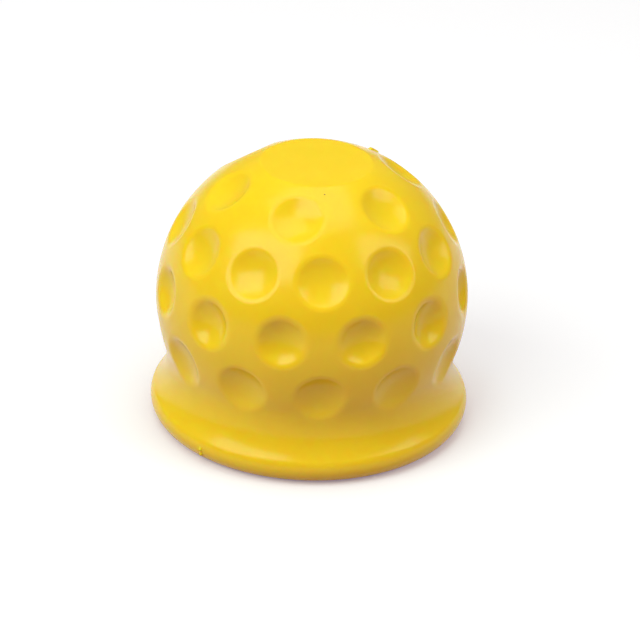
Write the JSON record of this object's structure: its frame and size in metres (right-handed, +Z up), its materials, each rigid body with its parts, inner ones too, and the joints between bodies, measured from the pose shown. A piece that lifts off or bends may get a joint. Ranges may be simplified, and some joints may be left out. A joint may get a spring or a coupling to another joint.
{
  "type": "tow ball cover",
  "caption": "Soft one-piece cap that stretches over a tow ball: a dimpled ball with a flat crown on a flared skirt, with a round socket open at the base.",
  "frame": {"origin": "centre of the base, on the surface that the cover stands on", "axes": "+Z up along the ball's axis; -Y the side that the picture shows; the mould's parting plane runs through Z between +X and +Y"},
  "size_m": [0.07, 0.07, 0.0598],
  "materials": {
    "cover": "glossy soft moulded vinyl, warm yellow"
  },
  "bodies": {
    "root": {"cover": "cover"}
  },
  "joints": []
}
